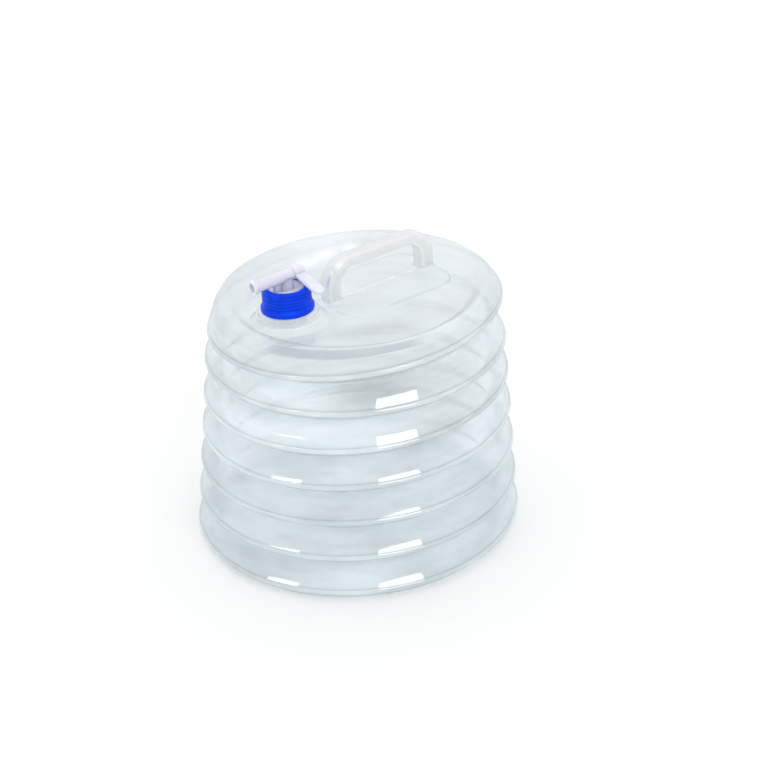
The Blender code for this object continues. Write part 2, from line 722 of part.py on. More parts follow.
def make_tap_plug(plug_frame):
    # A hollow plug whose side port meets the stem bore when the lever stands up
    lever_middle = BARREL_REAR + GAP + LEVER_WIDTH / 2
    shaft = cylinder_mesh("tap_plug", PLUG_RADIUS, -PLUG_REACH, lever_middle, BORE_SEGMENTS)
    shaft.transform(Matrix.Rotation(pi / 2, 4, 'Y'))
    plug = add_part("tap_plug", shaft, tap_white, plug_frame)
    lying = (0.0, pi / 2, 0.0)
    hub = cylinder_mesh("hub", LEVER_HUB_RADIUS, BARREL_REAR + GAP, BARREL_REAR + GAP + LEVER_WIDTH,
                        BORE_SEGMENTS)
    combine(plug, add_cutter("hub_form", hub, plug_frame, turn=lying), 'UNION')
    bar = extruded_mesh("lever", lever_outline(), LEVER_THICKNESS, 0.0)
    forward = (-LEVER_SLOPE, 0.0, pi)
    combine(plug, add_cutter("lever_form", bar, plug_frame, (lever_middle, 0.0, 0.0), forward), 'UNION')
    bore = cylinder_mesh("bore", PLUG_BORE_RADIUS, -PLUG_REACH - OVERRUN, BARREL_REAR - PLUG_END_WALL,
                         BORE_SEGMENTS)
    combine(plug, add_cutter("plug_bore", bore, plug_frame, turn=lying), 'DIFFERENCE')
    port = cylinder_mesh("port", PORT_RADIUS, 0.0, PLUG_RADIUS + OVERRUN, BORE_SEGMENTS)
    back = (-pi / 2, 0.0, 0.0)
    combine(plug, add_cutter("plug_port", port, plug_frame, turn=back), 'DIFFERENCE')
    return plug


clear_scene()
parts = make_collection(PARTS_NAME)
cutters = make_collection(CUTTERS_NAME)
film = plastic("film", FILM_COLOUR, FILM_ROUGHNESS, FILM_CLARITY)
crest = plastic("crest", CREST_COLOUR, CREST_ROUGHNESS, CREST_CLARITY)
blue = plastic("blue_ring", BLUE, RING_ROUGHNESS)
tap_white = plastic("tap_white", TAP_WHITE, TAP_ROUGHNESS)
gasket = plastic("gasket", GASKET_GREY, GASKET_ROUGHNESS)

make_base_pan()
for crest_level in range(1, FOLD_COUNT + 1):
    make_fold_wall(crest_level)
    make_crest_ring(crest_level)
make_lid_shoulder()

lid = add_frame("lid_frame", station_sway(FOLD_COUNT + 1) + Vector((0.0, 0.0, LID_HEIGHT)))
neck_axis = add_frame("neck_frame", (-NECK_OFFSET, 0.0, 0.0), lid)
plug_axis = add_frame("plug_frame", (0.0, 0.0, BARREL_AXIS_HEIGHT), neck_axis)
make_lid_plate(lid)
make_handle(lid)
make_screw_ring(neck_axis)
make_gasket(neck_axis)
make_tap_body(neck_axis)
make_tap_plug(plug_axis)
bpy.context.view_layer.update()
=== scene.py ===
from math import cos, pi, radians, sin

import bpy
import numpy as np
from mathutils import Matrix, Vector


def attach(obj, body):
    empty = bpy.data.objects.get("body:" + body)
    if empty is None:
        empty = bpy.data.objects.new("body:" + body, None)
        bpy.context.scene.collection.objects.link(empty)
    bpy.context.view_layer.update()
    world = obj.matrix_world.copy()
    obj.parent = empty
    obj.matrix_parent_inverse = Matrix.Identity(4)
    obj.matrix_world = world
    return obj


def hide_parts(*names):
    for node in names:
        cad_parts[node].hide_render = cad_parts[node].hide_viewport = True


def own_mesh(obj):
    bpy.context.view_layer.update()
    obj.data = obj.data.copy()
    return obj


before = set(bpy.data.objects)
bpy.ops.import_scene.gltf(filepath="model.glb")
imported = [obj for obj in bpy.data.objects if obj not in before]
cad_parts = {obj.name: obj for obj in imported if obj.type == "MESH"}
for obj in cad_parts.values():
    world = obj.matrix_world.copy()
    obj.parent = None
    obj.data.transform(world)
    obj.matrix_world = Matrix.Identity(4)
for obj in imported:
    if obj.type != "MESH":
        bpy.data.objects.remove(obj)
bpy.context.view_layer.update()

# Sizes of the part in metres; on the lid, places are from its middle and heights from LID_Z

FOLDS = 6
BASE_RADIUS = 0.1331
RIM_RADIUS = 0.1169
FOLD_PITCH = 0.03077
CREST_0 = 0.008
FOLD_DEPTH = 0.0115
UNDERCUT_DROP = 0.0113
SHOULDER_HEIGHT = 0.0183
SHOULDER_WIDTH = 0.0091
RIM_Z = CREST_0 + FOLD_PITCH * FOLDS
LID_Z = RIM_Z + SHOULDER_HEIGHT
LID_RADIUS = RIM_RADIUS - SHOULDER_WIDTH

# Lean of the stack: the share of the tilt at each crest and at the lid, and the sway of the lid
RIM_TILT = radians(4.5)
TILT_SHARES = (0.0, 0.05, 0.14, 0.29, 0.35, 0.22, 1.0, 0.33)
TILT_AZIMUTH = radians(-36.0)
SWAY_AZIMUTH = radians(-42.0)
SWAY = 0.0083
VIEW_AZIMUTH = radians(-36.0)

# Foot: its outline as places from the foot's radius, with heights over the floor
FLOOR_RISE = 0.0028
FLOOR_RING = 0.060
FOOT_INSET = 0.007
FOOT_OUTLINE = ((-0.0125, FLOOR_RISE), (-0.0100, 0.0022), (-0.0080, 0.0006), (-0.0066, 0.0),
                (0.0, 0.0), (0.0022, 0.0005), (0.0040, 0.0017))
FOOT_END = (0.0014, 0.0040)

# Beads: degrees at the top, the middle and the bottom of the outline, and the bends between them
BEAD = 0.0023
BEAD_TURNS = (41.5, 33.0, -56.0)
BEAD_BENDS = (0.0105, 0.0019)
BEAD_STEPS = (8, 12)
BEAD_TOP_DROP = 0.0001

# Groove over each bead, and the small offsets that keep its edges crisp
GROOVE_DEPTH = 0.0001
GROOVE_RISE = 0.0003
GROOVE_EDGE = (0.00002, 0.00004)
PANEL_START = 0.0004
VALLEY_ROUND = (0.0002, 0.0004)
VALLEY_SAG = 0.0007
VALLEY_LEAN = 0.2
UNDERCUT_STEPS = 8

# Panels, one value for each fold: degrees that the low part leans from the chord, and its share.
# The kink over it has a share of the panel and an angle.
PANEL_TURNS = (2.6, 3.2, 2.9, 5.0, 5.6, 5.3)
PANEL_FLATS = (0.0, 0.0, 0.0, 0.0, 0.31, 0.33)
PANEL_KINK = (0.06, 4.0)
PANEL_STEPS = 32

# Shoulder: where it breaks into its steeper top strip, and the round edge at the lid
SHOULDER_BREAK = (0.0042, 0.0050)
SHOULDER_EDGE = (0.0008, 0.0003)
SHOULDER_STEPS = 16
STRIP_STEPS = 6
STRIP_START = 0.00004

# Lid
PANEL = -0.0078
RIDGE_WIDTH = 0.0020
RECESS_SLOPE = 0.0180
PAD_TOP = PANEL + 0.0025
PAD_LENGTH = 0.108
PAD_WIDTH = 0.073
PAD_CORNER = 0.018
PAD_EDGE_IN = 0.0014
PAD_EDGE_WIDTH = 0.0022
SEAM_RISE = 0.0008
SEAM_HALF_WIDTH = 0.0006
SEAM_HALF_LENGTH = 0.041
SEAM_FADE = 0.003
CONE_RISE = 0.0045
CONE_RADIUS = 0.032
CONE_SLOPE = 0.0062
BOSS_TOP = PANEL + 0.0099
BOSS_CUT = 0.0256
BOSS_SIDE_RADIUS = 0.0258
BOSS_TOP_RADIUS = 0.0236
BOSS_START = 0.0044
BOSS_STEP = 0.0067
BOSS_ROUND = 0.0006
BORE_OVERRUN = 0.001

# Neck, its thread and the screw ring
GAP = 0.0003
NECK_X = -0.593 * LID_RADIUS
NECK_RADIUS = 0.0165
NECK_BORE = 0.0140
RING_LOW = BOSS_TOP + GAP
RING_HIGH = RING_LOW + 0.0207
LIP_TOP = RING_HIGH - 0.0016
LIP_LOW = LIP_TOP - 0.0015
DISC_TOP = LIP_LOW - GAP
DISC_THICKNESS = 0.0020
NECK_TOP = DISC_TOP - 0.0044 + GAP
RING_BORE = NECK_RADIUS + 0.0011
RING_RADIUS = 0.01935
RING_ROUND = 0.0004
SKIRT_RADIUS = 0.0210
SKIRT_HEIGHT = 0.0056
SKIRT_FLARE = 0.0024
SKIRT_STEP = 0.0005
LIP_RADIUS = 0.0142
RIM_EDGE = 0.0026
CROWN_INSET = 0.0003
CROWN_DROP = 0.0002
RIDGES = 5
RIDGE_CUTS = ((0.08, 0.0), (0.25, 0.0), (0.45, 0.0), (0.62, 0.0), (0.74, 0.0003), (0.86, 0.0006),
              (0.96, 0.0003))
THREAD_PITCH = 0.0035
THREAD_DEPTH = 0.0008
THREAD_ROOT_WIDTH = 0.0014
THREAD_CREST_WIDTH = 0.0007
NECK_THREAD_TURNS = 2.25
RING_THREAD_TURNS = 1.5
RING_THREAD_DROP = 0.00116
THREAD_LOW = NECK_TOP - 0.0017 - THREAD_PITCH * NECK_THREAD_TURNS

# Tap
BARREL_Z = RING_HIGH + 0.0064
BARREL_RADIUS = 0.0048
BARREL_BORE = 0.0035
BARREL_STOP = 0.0180
BARREL_REAR = 0.0062
BARREL_ROUND = 0.0005
SPOUT_REACH = 0.0310
COLLAR_RISE = 0.0006
COLLAR_LENGTH = 0.0030
COLLAR_SLOPE = 0.0002
STEM_RADIUS = 0.0057
STEM_FLARE = 0.0012
STEM_FOOT = (0.0002, 0.0004)
STEM_SHORT = 0.001
WEB_REACH = 0.011
WEB_HALF = 0.0018
WEB_SINK = 0.0005
DISC_ROUND = 0.0004
PLUG_RADIUS = 0.0032
PLUG_REACH = 0.0115
HUB_RADIUS = 0.0048
HUB_ROUND = 0.0009
LEVER_LENGTH = 0.0330
LEVER_WIDTH = 0.0096
LEVER_THICKNESS = 0.0032
LEVER_EDGE = 0.0010
LEVER_SLOPE = radians(12.0)

# Handle
HANDLE_X = 0.224 * LID_RADIUS
HANDLE_HALF = 0.053
HANDLE_RISE = 0.0354
HANDLE_DEPTH = 0.0155
HANDLE_EDGE = 0.0047
GRIP_THICKNESS = 0.0102
LEG_WIDTH = 0.0132
OUTER_CORNER = 0.023
INNER_CORNER = 0.0125
FILLET_CORNER = 0.0030
FILLET_RISE = 0.0024
FILLET_REACH = 0.0032

# Smoothness of the meshes
SKIN_SEGMENTS = 256
LID_SEGMENTS = 420
LID_RINGS = 118
LID_FIRST_RING = 0.002
LID_LAST_RING_INSET = 0.0025
LID_RIM_RINGS = (0.0018, 0.0012, 0.0006, 0.0)
BOSS_SEGMENTS = 120
RING_SEGMENTS = 128
DISC_SEGMENTS = 96
TAP_SEGMENTS = 64
CORNER_STEPS = 4
CORNER_LIMIT = 0.45
TURNED_SHARP = radians(50.0)
SLAB_SHARP = radians(40.0)


def crest_radius(level):
    return BASE_RADIUS + (RIM_RADIUS - BASE_RADIUS) * level / FOLDS


def crest_height(level):
    return CREST_0 + FOLD_PITCH * level


# The stack's lean

SWAY_DIRECTION = Vector((cos(SWAY_AZIMUTH), sin(SWAY_AZIMUTH), 0.0))
TILT_AXIS = Vector((sin(TILT_AZIMUTH), -cos(TILT_AZIMUTH), 0.0))
LID_PLACE = SWAY_DIRECTION * SWAY + Vector((0.0, 0.0, LID_Z))
NECK_PLACE = LID_PLACE + Vector((NECK_X, 0.0, 0.0))


def station_z(level):
    return LID_Z if level > FOLDS else crest_height(level)


def station(level):
    # The move that takes a crest, or the lid, from the straight stack to the leaning one
    middle = Vector((0.0, 0.0, station_z(level)))
    climb = (station_z(level) - CREST_0) / (LID_Z - CREST_0)
    turn = Matrix.Rotation(RIM_TILT * TILT_SHARES[level], 4, TILT_AXIS)
    move = Matrix.Translation(middle + SWAY_DIRECTION * SWAY * climb)
    return np.array(move @ turn @ Matrix.Translation(-middle))


def leaned(points, seam):
    # Points moved as the stack leans: stiff within a seam's distance of each crest, blended between
    extended = np.c_[points, np.ones(len(points))]
    moved = [(extended @ station(level).T)[:, :3] for level in range(FOLDS + 2)]
    z = points[:, 2]
    result = moved[0].copy()
    for level in range(FOLDS + 1):
        low = station_z(level) + seam
        high = station_z(level + 1) - (seam if level < FOLDS else 0.0)
        share = np.clip((z - low) / (high - low), 0.0, 1.0)[:, None]
        blend = moved[level] * (1 - share) + moved[level + 1] * share
        result = np.where((z > station_z(level) - seam)[:, None], blend, result)
    return result


# Mesh helpers

def mesh_object(name, points, faces, material, smooth=True):
    mesh = bpy.data.meshes.new(name)
    mesh.from_pydata([tuple(point) for point in points], [], faces)
    mesh.update()
    if smooth:
        mesh.shade_smooth()
        mesh.set_sharp_from_angle(angle=TURNED_SHARP)
    piece = bpy.data.objects.new(name, mesh)
    bpy.context.scene.collection.objects.link(piece)
    mesh.materials.append(material)
    return piece


def turned(profile, segments):
    # Points and quads of a profile turned about Z, with a single point wherever it meets the axis
    points = []
    rows = []
    for radius, height in profile:
        if radius < 1e-6:
            rows.append([len(points)] * segments)
            points.append((0.0, 0.0, height))
            continue
        row = []
        for step in range(segments):
            angle = 2 * pi * step / segments
            row.append(len(points))
            points.append((radius * cos(angle), radius * sin(angle), height))
        rows.append(row)
    faces = []
    for below, above in zip(rows, rows[1:]):
        for step in range(segments):
            after = (step + 1) % segments
            corners = [below[step], below[after], above[after], above[step]]
            unique = list(dict.fromkeys(corners))
            if len(unique) > 2:
                faces.append(unique)
    return points, faces


class Piece:
    # Collects several forms into one mesh, in the frame of the place where they stand
    def __init__(self):
        self.points = []
        self.faces = []

    def add(self, points, faces, turn=None, move=(0.0, 0.0, 0.0)):
        start = len(self.points)
        shift = Vector(move)
        for point in points:
            spot = Vector(point)
            if turn is not None:
                spot = turn @ spot
            self.points.append(spot + shift)
        self.faces += [[start + corner for corner in face] for face in faces]

    def done(self, name, place, material):
        return mesh_object(name, [point + place for point in self.points], self.faces, material)


def arc(centre, radius, start, end, steps):
    line = []
    for step in range(steps + 1):
        angle = radians(start + (end - start) * step / steps)
        line.append((centre[0] + radius * cos(angle), centre[1] + radius * sin(angle)))
    return line


def eased(corners, radius, steps=CORNER_STEPS):
    # A profile with each inner corner rounded, as far as its two sides allow
    line = [corners[0]]
    for before, corner, after in zip(corners, corners[1:], corners[2:]):
        middle = np.array(corner, float)
        back = np.array(before, float) - middle
        forth = np.array(after, float) - middle
        reach = min(radius, np.linalg.norm(back) * CORNER_LIMIT, np.linalg.norm(forth) * CORNER_LIMIT)
        start = middle + back / np.linalg.norm(back) * reach
        end = middle + forth / np.linalg.norm(forth) * reach
        for step in range(steps + 1):
            share = step / steps
            spot = (1 - share) ** 2 * start + 2 * share * (1 - share) * middle + share ** 2 * end
            line.append(tuple(spot))
    line.append(corners[-1])
    return line


def helix(root, crest, start, turns, segments=96, fade_steps=10):
    # A tapered thread wound up the axis, fading out at both ends
    points = []
    faces = []
    steps = round(segments * turns)
    for step in range(steps + 1):
        angle = 2 * pi * step / segments
        lift = start + THREAD_PITCH * step / segments
        fade = min(1.0, step / fade_steps, (steps - step) / fade_steps)
        top = root + (crest - root) * fade
        for radius, height in ((root, -THREAD_ROOT_WIDTH / 2), (top, -THREAD_CREST_WIDTH / 2),
                               (top, THREAD_CREST_WIDTH / 2), (root, THREAD_ROOT_WIDTH / 2)):
            points.append((radius * cos(angle), radius * sin(angle), lift + height))
    for step in range(steps):
        for side in range(3):
            low = step * 4 + side
            faces.append((low, low + 4, low + 5, low + 1))
    return points, faces


def smooth(value):
    # From 0 to 1 with a soft start and end
    share = np.clip(value, 0.0, 1.0)
    return share * share * (3 - 2 * share)


def slab(name, outline, thickness, edge, material, place, turn, rings):
    # A flat outline filled and thickened about its own plane, with its edges rounded
    curve = bpy.data.curves.new(name, "CURVE")
    curve.dimensions = "2D"
    curve.fill_mode = "BOTH"
    curve.extrude = thickness / 2 - edge
    curve.bevel_depth = edge
    curve.bevel_resolution = rings
    curve.offset = -edge
    spline = curve.splines.new("POLY")
    spline.points.add(len(outline) - 1)
    for point, (across, up) in zip(spline.points, outline):
        point.co = (across, up, 0.0, 1.0)
    spline.use_cyclic_u = True
    blank = bpy.data.objects.new(name, curve)
    bpy.context.scene.collection.objects.link(blank)
    bpy.context.view_layer.update()
    ready = blank.evaluated_get(bpy.context.evaluated_depsgraph_get())
    mesh = bpy.data.meshes.new_from_object(ready)
    bpy.data.objects.remove(blank, do_unlink=True)
    mesh.transform(Matrix.Translation(place) @ turn.to_4x4())
    mesh.shade_smooth()
    mesh.set_sharp_from_angle(angle=SLAB_SHARP)
    piece = bpy.data.objects.new(name, mesh)
    bpy.context.scene.collection.objects.link(piece)
    mesh.materials.clear()
    mesh.materials.append(material)
    return piece


# Folded skin: foot, beads, undercuts, valleys and panels up to the lid's edge

def panel(bottom, top, steps, flat, turn):
    # The low part stays flat at its turn from the chord, then kinks, and the rest bends evenly
    across = bottom[0] - top[0]
    fall = top[1] - bottom[1]
    width, kink = PANEL_KINK if flat else (0.0, 0.0)
    rest = (turn * flat + (turn - kink / 2) * width) / (1 - flat - width)
    places = (0.0, flat + 1e-6, flat + width + 2e-6, 1.0)
    turns = (turn, turn, turn - kink, kink - turn - 2 * rest)
    rise = 0.0
    line = []
    for step in range(steps + 1):
        share = step / steps
        line.append((bottom[0] - across * share + fall * rise, bottom[1] + fall * share + across * rise))
        rise += radians(np.interp(share + 0.5 / steps, places, turns)) / steps
    return line


def straight(start, end, steps):
    across = end[0] - start[0]
    rise = end[1] - start[1]
    return [(start[0] + across * step / steps, start[1] + rise * step / steps) for step in range(steps + 1)]


def bead_line(radius, height):
    # Top to bottom: a broad upper face, then a tighter turn down into the undercut
    top, middle, bottom = (radians(angle) for angle in BEAD_TURNS)
    broad, tight = BEAD_BENDS
    widest = broad * (cos(middle) - cos(top)) + tight * (1 - cos(middle))
    spot = [radius + BEAD - widest, height + BEAD - BEAD_TOP_DROP]
    line = [tuple(spot)]
    parts = ((top, middle, broad, BEAD_STEPS[0]), (middle, bottom, tight, BEAD_STEPS[1]))
    for start, end, bend, steps in parts:
        for step in range(steps):
            before = start + (end - start) * step / steps
            after = start + (end - start) * (step + 1) / steps
            spot[0] += bend * (cos(after) - cos(before))
            spot[1] -= bend * (sin(before) - sin(after))
            line.append(tuple(spot))
    return line


def undercut(valley, bead):
    # From the rounded valley out to the bead
    across = bead[0] - valley[0]
    rise = bead[1] - valley[1]
    line = []
    for step in range(1, UNDERCUT_STEPS):
        share = step / UNDERCUT_STEPS
        sag = VALLEY_SAG * (1 - share) ** 4
        line.append((valley[0] + across * share - sag * VALLEY_LEAN, valley[1] + rise * share + sag))
    return line


# Painted shading along the skin's outline: painted shade in each groove and at the panel's foot, and a
# painted highlight (below zero) on each bead
GROOVE_SHADE = 1.0
BEAD_HIGHLIGHT = -0.6
PANEL_FOOT_SHADE = [1.0, 0.6, 0.2]


def skin_profile():
    # The outline from the middle of the base to the lid, with each point's share of painted shading: painted
    # shade in the groove over a bead and fading up the foot of the panel above it (the shoulder above the
    # top bead), and a painted highlight on the bead
    foot = BASE_RADIUS - FOOT_INSET
    line = [(0.0, FLOOR_RISE), (FLOOR_RING, FLOOR_RISE)]
    line += [(foot + out, height) for out, height in FOOT_OUTLINE]
    line.append((BASE_RADIUS - FOOT_END[0], FOOT_END[1]))
    painted_shading = [0.0] * len(line)
    for level in range(FOLDS + 1):
        radius = crest_radius(level)
        height = crest_height(level)
        bead = bead_line(radius, height)
        if level:
            line += undercut((radius - FOLD_DEPTH, height - UNDERCUT_DROP), bead[-1])
        line += reversed(bead)
        painted_shading += [0.0] * (len(line) - len(painted_shading) - len(bead))
        painted_shading += [BEAD_HIGHLIGHT] * len(bead)
        out, high = bead[0]
        groove = (out - GROOVE_DEPTH, high + GROOVE_RISE)
        low = (groove[0] + GROOVE_DEPTH, groove[1] + PANEL_START)
        line += [(out - GROOVE_EDGE[0], high + GROOVE_EDGE[1]), groove]
        painted_shading += [GROOVE_SHADE, GROOVE_SHADE]
        if level < FOLDS:
            top = (crest_radius(level + 1) - FOLD_DEPTH + VALLEY_ROUND[0],
                   crest_height(level + 1) - UNDERCUT_DROP - VALLEY_ROUND[1])
            line += panel(low, top, PANEL_STEPS, PANEL_FLATS[level], PANEL_TURNS[level])
        else:
            corner = (LID_RADIUS + SHOULDER_BREAK[0] + SHOULDER_EDGE[0], LID_Z - SHOULDER_BREAK[1])
            after = (corner[0] - STRIP_START, corner[1] + STRIP_START)
            line += straight(low, corner, SHOULDER_STEPS)
            line += straight(after, (LID_RADIUS + SHOULDER_EDGE[0], LID_Z - SHOULDER_EDGE[1]), STRIP_STEPS)
        painted_shading += PANEL_FOOT_SHADE
        painted_shading += [0.0] * (len(line) - len(painted_shading))
    line.append((LID_RADIUS, LID_Z))
    painted_shading.append(0.0)
    return line, painted_shading


# Lid: ridge, sunk panel, pad, seam and the boss's sloping foot as one height over the plane

def box_distance(x, y, half_x, half_y, corner):
    # How far a place is outside each pair of a box's sides, both drawn in by its corner's radius,
    # and how far it is from the box between them
    away_x = np.abs(x) - (half_x - corner)
    away_y = np.abs(y) - (half_y - corner)
    return away_x, away_y, np.hypot(np.maximum(away_x, 0), np.maximum(away_y, 0))


def pad_distance(x, y):
    # How far a place on the lid is outside the edge of the handle's pad
    away_x, away_y, away = box_distance(x - HANDLE_X, y, PAD_LENGTH / 2, PAD_WIDTH / 2, PAD_CORNER)
    return away + np.minimum(np.maximum(away_x, away_y), 0) - PAD_CORNER


def lid_height(x, y):
    # The lid's height at each place, and that place's distance from the neck's axis
    radius = np.hypot(x, y)
    dip = (1 - np.cos(pi * np.clip((LID_RADIUS - RIDGE_WIDTH - radius) / RECESS_SLOPE, 0.0, 1.0))) / 2
    height = PANEL * dip
    outside = pad_distance(x, y)
    pad = PAD_TOP + (PANEL - PAD_TOP) * smooth((outside + PAD_EDGE_IN) / PAD_EDGE_WIDTH)
    height = np.maximum(height, pad)
    seam_end = smooth((SEAM_HALF_LENGTH - np.abs(x - HANDLE_X)) / SEAM_FADE)
    seam = SEAM_RISE * np.exp(-(y / SEAM_HALF_WIDTH) ** 2) * seam_end
    height = height + seam * (outside < 0)
    for leg in (-1, 1):
        from_leg = x - HANDLE_X - leg * (HANDLE_HALF - LEG_WIDTH / 2)
        _, _, away = box_distance(from_leg, y, LEG_WIDTH / 2, HANDLE_DEPTH / 2, FILLET_CORNER)
        fillet = np.clip(1 - (away - FILLET_CORNER) / FILLET_REACH, 0.0, 1.0)
        height = height + FILLET_RISE * fillet ** 2
    from_neck = np.hypot(x - NECK_X, y)
    cone = PANEL + CONE_RISE * np.clip((CONE_RADIUS - from_neck) / CONE_SLOPE, 0.0, 1.0)
    return np.maximum(height, cone), from_neck


def lid_mesh():
    # Rings of quads over the lid's plane, tipped at the rim to meet the shoulder, open at the boss
    rings = [0.0]
    rings += list(np.linspace(LID_FIRST_RING, LID_RADIUS - LID_LAST_RING_INSET, LID_RINGS))
    rings += [LID_RADIUS - inset for inset in LID_RIM_RINGS]
    points = [(0.0, 0.0)]
    for radius in rings[1:]:
        for step in range(LID_SEGMENTS):
            angle = 2 * pi * step / LID_SEGMENTS
            points.append((radius * cos(angle), radius * sin(angle)))
    flat = np.array(points)
    height, from_neck = lid_height(flat[:, 0], flat[:, 1])
    spots = np.c_[flat, height]
    slope_start = LID_RADIUS - RIDGE_WIDTH - RECESS_SLOPE
    share = np.clip((np.hypot(flat[:, 0], flat[:, 1]) - slope_start) / RECESS_SLOPE, 0.0, 1.0)
    for index in np.nonzero(share > 0)[0]:
        turn = Matrix.Rotation(RIM_TILT * TILT_SHARES[-1] * share[index], 3, TILT_AXIS)
        spots[index] = turn @ Vector(spots[index])
    faces = []
    for ring in range(len(rings) - 1):
        for step in range(LID_SEGMENTS):
            after = (step + 1) % LID_SEGMENTS
            if ring == 0:
                corners = [0, 1 + step, 1 + after]
            else:
                low = 1 + (ring - 1) * LID_SEGMENTS
                high = 1 + ring * LID_SEGMENTS
                corners = [low + step, high + step, high + after, low + after]
            if from_neck[corners].min() > BOSS_CUT:
                faces.append(corners)
    return spots, faces


# Materials

def add(tree, kind, operation=None):
    made = tree.nodes.new(kind)
    if operation is not None:
        made.operation = operation
    return made


def new_tree(name):
    material = bpy.data.materials.new(name)
    material.use_nodes = True
    material.node_tree.nodes.clear()
    return material, material.node_tree


def attribute(tree, name):
    node = add(tree, "ShaderNodeAttribute")
    node.attribute_name = name
    return node.outputs["Fac"]


def fill(tree, node, values):
    # Each of the node's first inputs is linked to a socket or set to a number
    for socket, value in zip(node.inputs, values):
        if isinstance(value, (int, float)):
            socket.default_value = value
        else:
            tree.links.new(value, socket)


def computed(tree, operation, *values):
    node = add(tree, "ShaderNodeMath", operation)
    fill(tree, node, values)
    return node.outputs[0]


def mixed(tree, share, first, second):
    node = add(tree, "ShaderNodeMixShader")
    fill(tree, node, (share, first, second))
    return node.outputs[0]


def scaled(tree, colour, factor):
    node = add(tree, "ShaderNodeVectorMath", "SCALE")
    node.inputs[0].default_value = colour
    tree.links.new(factor, node.inputs["Scale"])
    return node.outputs[0]


def noise(tree, coordinates, scale, detail, stretch=(1.0, 1.0, 1.0)):
    mapping = add(tree, "ShaderNodeMapping")
    mapping.inputs["Scale"].default_value = stretch
    tree.links.new(coordinates, mapping.inputs["Vector"])
    texture = add(tree, "ShaderNodeTexNoise")
    texture.inputs["Scale"].default_value = scale
    texture.inputs["Detail"].default_value = detail
    tree.links.new(mapping.outputs[0], texture.inputs["Vector"])
    return texture.outputs[0]


def bumps(tree, height, strength, distance):
    relief = add(tree, "ShaderNodeBump")
    relief.inputs["Strength"].default_value = strength
    relief.inputs["Distance"].default_value = distance
    tree.links.new(height, relief.inputs["Height"])
    return relief.outputs[0]


def ranged(tree, value, low, high, start=0.3, end=0.7):
    ramp = add(tree, "ShaderNodeMapRange")
    ramp.inputs["From Min"].default_value = start
    ramp.inputs["From Max"].default_value = end
    ramp.inputs["To Min"].default_value = low
    ramp.inputs["To Max"].default_value = high
    tree.links.new(value, ramp.inputs["Value"])
    return ramp.outputs["Result"]


def film_material(name, milk, colour, tint, deep, gloss, roughness, streak):
    # Milky film: part clear, part diffuse on both sides, under a sharp reflection
    material, tree = new_tree(name)
    link = tree.links.new
    out = add(tree, "ShaderNodeOutputMaterial")
    coordinates = add(tree, "ShaderNodeTexCoord").outputs["Object"]
    facing = add(tree, "ShaderNodeLayerWeight")
    facing.inputs["Blend"].default_value = 0.5
    slant = facing.outputs["Facing"]
    painted_shading = attribute(tree, "painted_shading")
    milk_and_painted_shading = attribute(tree, "milk_and_painted_shading")

    # The milk's colour: streaked at random, darker where painted shade is marked and paler where a painted
    # highlight is marked (values below zero), and paler or darker where patches of painted light and shade
    # are marked; paler patches also make the milk denser
    bands = noise(tree, coordinates, scale=15.0, detail=3.0, stretch=(1.0, 1.0, 4.5))
    bands = ranged(tree, bands, low=1 - streak, high=1 + streak * 0.5, start=0.38, end=0.62)
    tone = computed(tree, "MULTIPLY_ADD", painted_shading, -0.20, computed(tree, "ADD", milk_and_painted_shading, 1.0))
    shade = scaled(tree, colour, computed(tree, "MULTIPLY", bands, tone))
    front = add(tree, "ShaderNodeBsdfDiffuse")
    through = add(tree, "ShaderNodeBsdfTranslucent")
    link(shade, front.inputs["Color"])
    link(shade, through.inputs["Color"])
    body = mixed(tree, 0.5, front.outputs[0], through.outputs[0])

    # The clear part: deeper in colour where the sight line runs further in the film, and where painted shade
    # is marked
    path = add(tree, "ShaderNodeMath", "MULTIPLY_ADD")
    path.use_clamp = True
    fill(tree, path, (painted_shading, 0.7, computed(tree, "POWER", slant, 3.0)))
    depth = add(tree, "ShaderNodeMix")
    depth.data_type = "RGBA"
    link(path.outputs[0], depth.inputs["Factor"])
    depth.inputs["A"].default_value = (*tint, 1.0)
    depth.inputs["B"].default_value = (*deep, 1.0)
    clear = add(tree, "ShaderNodeBsdfTransparent")
    link(depth.outputs["Result"], clear.inputs["Color"])
    mottle = noise(tree, coordinates, scale=11.0, detail=4.0)
    mottle = ranged(tree, mottle, low=milk * 0.86, high=milk * 1.14)
    opaque = computed(tree, "ADD", computed(tree, "MAXIMUM", milk_and_painted_shading, 0.0), mottle)
    see = mixed(tree, opaque, clear.outputs[0], body)

    # The reflection, stronger at a slant
    shine = add(tree, "ShaderNodeBsdfGlossy")
    shine.inputs["Roughness"].default_value = roughness
    waves = noise(tree, coordinates, scale=34.0, detail=1.0)
    link(bumps(tree, waves, strength=0.05, distance=0.0012), shine.inputs["Normal"])
    mirror = computed(tree, "MULTIPLY_ADD", computed(tree, "POWER", slant, 5.0), 0.75, gloss)
    link(mixed(tree, mirror, see, shine.outputs[0]), out.inputs["Surface"])
    return material


